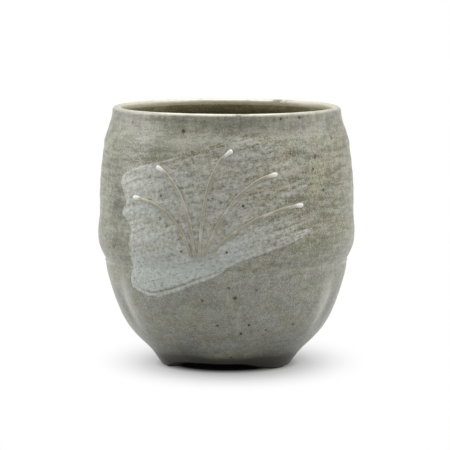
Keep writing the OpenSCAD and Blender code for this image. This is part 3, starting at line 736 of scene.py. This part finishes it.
colour = node(t, "MixRGB", Fac=opaque, Color1=colour, Color2=white)
dragged = node(t, "VectorMath", {"operation": "MULTIPLY"}, _0=stroke_here, _1=(0.4, 1.0, 1.0))
pits = node(t, "TexNoise", Vector=dragged, Scale=1500.0, Detail=2.0, Roughness=0.6)
pits = node(t, "MapRange", Value=pits, _1=0.58, _2=0.68, _3=0.0, _4=0.62)
colour = node(t, "MixRGB", Fac=pits, Color1=colour, Color2=srgb("575444"))
colour = iron_specks(t, place, colour, SPOTS)
melted(t, colour, height, 0.34)
fire(slip, "brushed_slip", swept)

# The trailed lines
# Real piece: thicker slip trailed on the sweep from a nozzle, as a tuft of grass. Each line
# stands up like a bead, with painted shade at its foot, and ends in a glassy white drop.

# Each blade's root, bend and tip, as shares of the sweep's turn and height
BLADES = [
    [(0.40, 0.28), (0.34, 0.62), (0.09, 0.64)],
    [(0.42, 0.27), (0.38, 0.76), (0.22, 0.84)],
    [(0.44, 0.27), (0.45, 0.86), (0.59, 0.95)],
    [(0.46, 0.28), (0.58, 0.76), (0.80, 0.80)],
    [(0.49, 0.31), (0.68, 0.58), (0.93, 0.60)],
]
# Radius of a line and of its drop in mm, and the shares of its length from which it swells into
# the drop, is full, and closes round. Its root closes round in the same way
LINE_R, DROP_R, DROP_START, DROP_FULL = 0.62, 0.95, 0.86, 0.97
ROOT_FULL, CAP_SHARE = 0.03, 0.031
# How far the middle of a line lies off the glaze
FILM_T = 0.15
deselect()
bpy.ops.curve.primitive_nurbs_path_add()
lines = bpy.context.object
lines.name = "trailed_lines.tuft"
lines.data.splines.clear()
lines.data.bevel_depth = MM
lines.data.bevel_resolution = 4
lines.data.resolution_u = 3
lines.data.use_fill_caps = True
tips = []
for root, bend, tip in (np.array(blade) for blade in BLADES):
    s = np.concatenate([[0, 0.01, 0.03], np.linspace(0.06, 0.94, 26), [0.965, 0.985, 0.996, 1]])
    path = ((1 - s) ** 2)[:, None] * root + (2 * s * (1 - s))[:, None] * bend
    path += (s ** 2)[:, None] * tip
    a = np.radians(SWEEP_START + SWEEP_TURN * path[:, 0])
    z = SWEEP_LOW + (SWEEP_TOP - SWEEP_LOW) * path[:, 1]
    radius = LINE_R + (DROP_R - LINE_R) * grow(s, DROP_START, DROP_FULL)
    radius *= 1 + 0.12 * np.sin(23 * s + 5 * root[0])
    for past in (s - DROP_FULL, ROOT_FULL - s):
        radius *= np.sqrt(np.clip(1 - (past / CAP_SHARE).clip(0) ** 2, 0.02, 1))
    spline = lines.data.splines.new("NURBS")
    spline.points.add(len(s) - 1)
    spline.use_endpoint_u = True
    spline.order_u = 3
    for point, at, size in zip(spline.points, skin(a, z, FILM_T), radius):
        point.co = (*at, 1)
        point.radius = size
    tips.append(skin(a[-1:], z[-1:], FILM_T)[0])
bpy.ops.object.convert(target="MESH")
co = points_of(lines)
a, z = np.arctan2(co[:, 0], -co[:, 1]), co[:, 2] / MM
proud = (np.hypot(co[:, 0], co[:, 1]) - np.hypot(*skin(a, z, 0)[:, :2].T)) / MM
from_tip = np.min([np.linalg.norm(co - tip, axis=1) for tip in tips], axis=0) / MM
keep(lines, "proud", proud)
# How far from its tip a line is all drop, and where the drop's look ends, in mm
DROP_LOOK = (1.5, 4.5)
keep(lines, "drop", 1 - grow(from_tip, *DROP_LOOK))

# Trailed slip under glaze: dark brown at the bead's foot as painted shade, pale on its flanks
# partly as pale slip and partly as a painted highlight, grey brown on its back with paler places
# where the glaze is thin, and white and glassy in the drop
beaded, t = new_material("trailed_white_slip_under_glaze")
place = node(t, "TexCoord").outputs["Object"]
stand = node(t, "Attribute", {"attribute_name": "proud"}).outputs["Fac"]
drop_here = node(t, "Attribute", {"attribute_name": "drop"}).outputs["Fac"]
grain = node(t, "TexNoise", Vector=place, Scale=1100.0, Detail=3.0)
back = node(t, "MapRange", Value=stand, _1=0.2, _2=0.8, _3=0.0, _4=0.85)
bead_shade_and_tone = node(t, "Math", {"operation": "MULTIPLY_ADD"}, _0=grain, _1=0.35, _2=back)
# By height: painted shade at the bead's foot, then a pale flank that is partly a painted highlight
colour = ramp(t, bead_shade_and_tone, (0.2, "575241"), (0.36, "b9b7a8"), (0.62, "a8a595"), (1.0, "918c79"))
bare = node(t, "TexNoise", Vector=place, Scale=260.0, Detail=3.0, Roughness=0.6)
bare = node(t, "MapRange", Value=bare, _1=0.5, _2=0.62, _3=0.0, _4=0.75)
colour = node(t, "MixRGB", Fac=bare, Color1=colour, Color2=srgb("bcbaad"))
glassy = ramp(t, bead_shade_and_tone, (0.2, "a7a496"), (0.75, "e4e4dd"))
colour = node(t, "MixRGB", Fac=drop_here, Color1=colour, Color2=glassy)
gloss = node(t, "MapRange", Value=drop_here, _1=0.0, _2=1.0, _3=0.34, _4=0.12)
bump = node(t, "Bump", Strength=0.3, Distance=0.00005, Height=grain)
shader = node(t, "BsdfPrincipled", Base_Color=colour, Roughness=gloss, Normal=bump)
node(t, "OutputMaterial", Surface=shader)
fire(lines, "trailed_lines", beaded)

# The camera
# It stands a metre off and looks down on the rim at about six degrees, as in the photograph.
CAMERA_BACK, CAMERA_UP, LOOK_Z, AXIS_SHIFT = 1.05, 0.15694, 0.0469, -0.00058
SENSOR_MM, LENS_MM, CLIP_M = 36, 250.24, 20
deselect()
bpy.ops.object.camera_add(location=(AXIS_SHIFT, -CAMERA_BACK, CAMERA_UP))
camera = bpy.context.object
camera.rotation_euler = (math.pi / 2 - math.atan((CAMERA_UP - LOOK_Z) / CAMERA_BACK), 0, 0)
camera.data.sensor_width = SENSOR_MM
camera.data.lens = LENS_MM
camera.data.clip_end = CLIP_M
bpy.context.scene.camera = camera

# The studio
# White paper to stand on, which runs out of sight. To the camera, to gloss and through glass it
# is white all the way; only round the cup does it show the lamps' light and the cup's shadow.
PAPER_R = 4.0
deselect()
bpy.ops.mesh.primitive_circle_add(vertices=96, radius=PAPER_R, fill_type="NGON")
floor = bpy.context.object
floor.name = "floor"
paper, t = new_material("white_paper")
rays = node(t, "LightPath").outputs
seen = node(t, "Math", {"operation": "MAXIMUM"}, _0=rays["Is Camera Ray"],
            _1=rays["Is Glossy Ray"])
seen = node(t, "Math", {"operation": "MAXIMUM"}, _0=seen, _1=rays["Is Transmission Ray"])
place = node(t, "TexCoord").outputs["Object"]
far = node(t, "VectorMath", {"operation": "LENGTH"}, _0=place).outputs["Value"]
# The lit paper fades to white over an oval, narrower from side to side, a little behind the cup
wide = node(t, "VectorMath", {"operation": "MULTIPLY_ADD"},
            _0=place, _1=(1.54, 1.0, 1.0), _2=(-0.002, -0.0082, 0.0))
wide = node(t, "VectorMath", {"operation": "LENGTH"}, _0=wide).outputs["Value"]
# Inside the foot's circle it is nearly black: painted shadow under the cup
clear = node(t, "MapRange", Value=far, _1=0.0170, _2=0.0245)
painted_shadow_under_cup = ramp(t, clear, (0, "0a0a0a"), (1, "9f9f9f"))
colour = node(t, "MixRGB", Fac=seen, Color1=srgb("a0a0a0"), Color2=painted_shadow_under_cup)
away = node(t, "MapRange", {"interpolation_type": "SMOOTHSTEP"}, Value=wide,
            _1=0.0102, _2=0.0738, _3=0.0, _4=1.0)
away = node(t, "Math", {"operation": "MULTIPLY"}, _0=away, _1=clear)
away = node(t, "Math", {"operation": "MULTIPLY"}, _0=away, _1=seen)
lit = node(t, "BsdfPrincipled", Base_Color=colour, Roughness=0.9)
white = node(t, "Emission", Color=(1, 1, 1, 1), Strength=1.0)
shader = node(t, "MixShader", Fac=away, _1=lit, _2=white)
node(t, "OutputMaterial", Surface=shader)
floor.data.materials.append(paper)

world = bpy.data.worlds.new("studio")
bpy.context.scene.world = world
world.use_nodes = True
t = world.node_tree
t.nodes.clear()
rays = node(t, "LightPath").outputs
strength = node(t, "MapRange", Value=rays["Is Camera Ray"], _1=0.0, _2=1.0, _3=0.6, _4=1.0)
sky = node(t, "Background", Color=(1, 1, 1, 1), Strength=strength)
node(t, "OutputWorld", Surface=sky)


def softbox(name, place, aim, size, power):
    """A rectangular softbox, which lights the way from its place to its aim."""
    deselect()
    bpy.ops.object.light_add(type="AREA", location=place)
    lamp = bpy.context.object
    lamp.name = name
    lamp.data.shape = "RECTANGLE"
    lamp.data.size, lamp.data.size_y = size
    lamp.data.energy = power
    way = np.array(place) - np.array(aim)
    flat = math.hypot(way[0], way[1])
    lamp.rotation_euler = (math.atan2(flat, way[2]), 0, math.atan2(way[0], -way[1]))


CUP_MIDDLE = (0, 0, 0.04)
softbox("top_softbox", (0, 0.25, 1.2), CUP_MIDDLE, (1.0, 1.0), 15)
softbox("left_softbox", (-1.0, 0.15, 0.5), CUP_MIDDLE, (0.7, 0.9), 6.5)
softbox("right_softbox", (1.0, 0.15, 0.5), CUP_MIDDLE, (0.7, 0.9), 2.8)
softbox("fill_softbox", (0.9, -0.6, 0.7), CUP_MIDDLE, (0.7, 0.7), 3.5)

bpy.context.scene.view_settings.view_transform = "Standard"
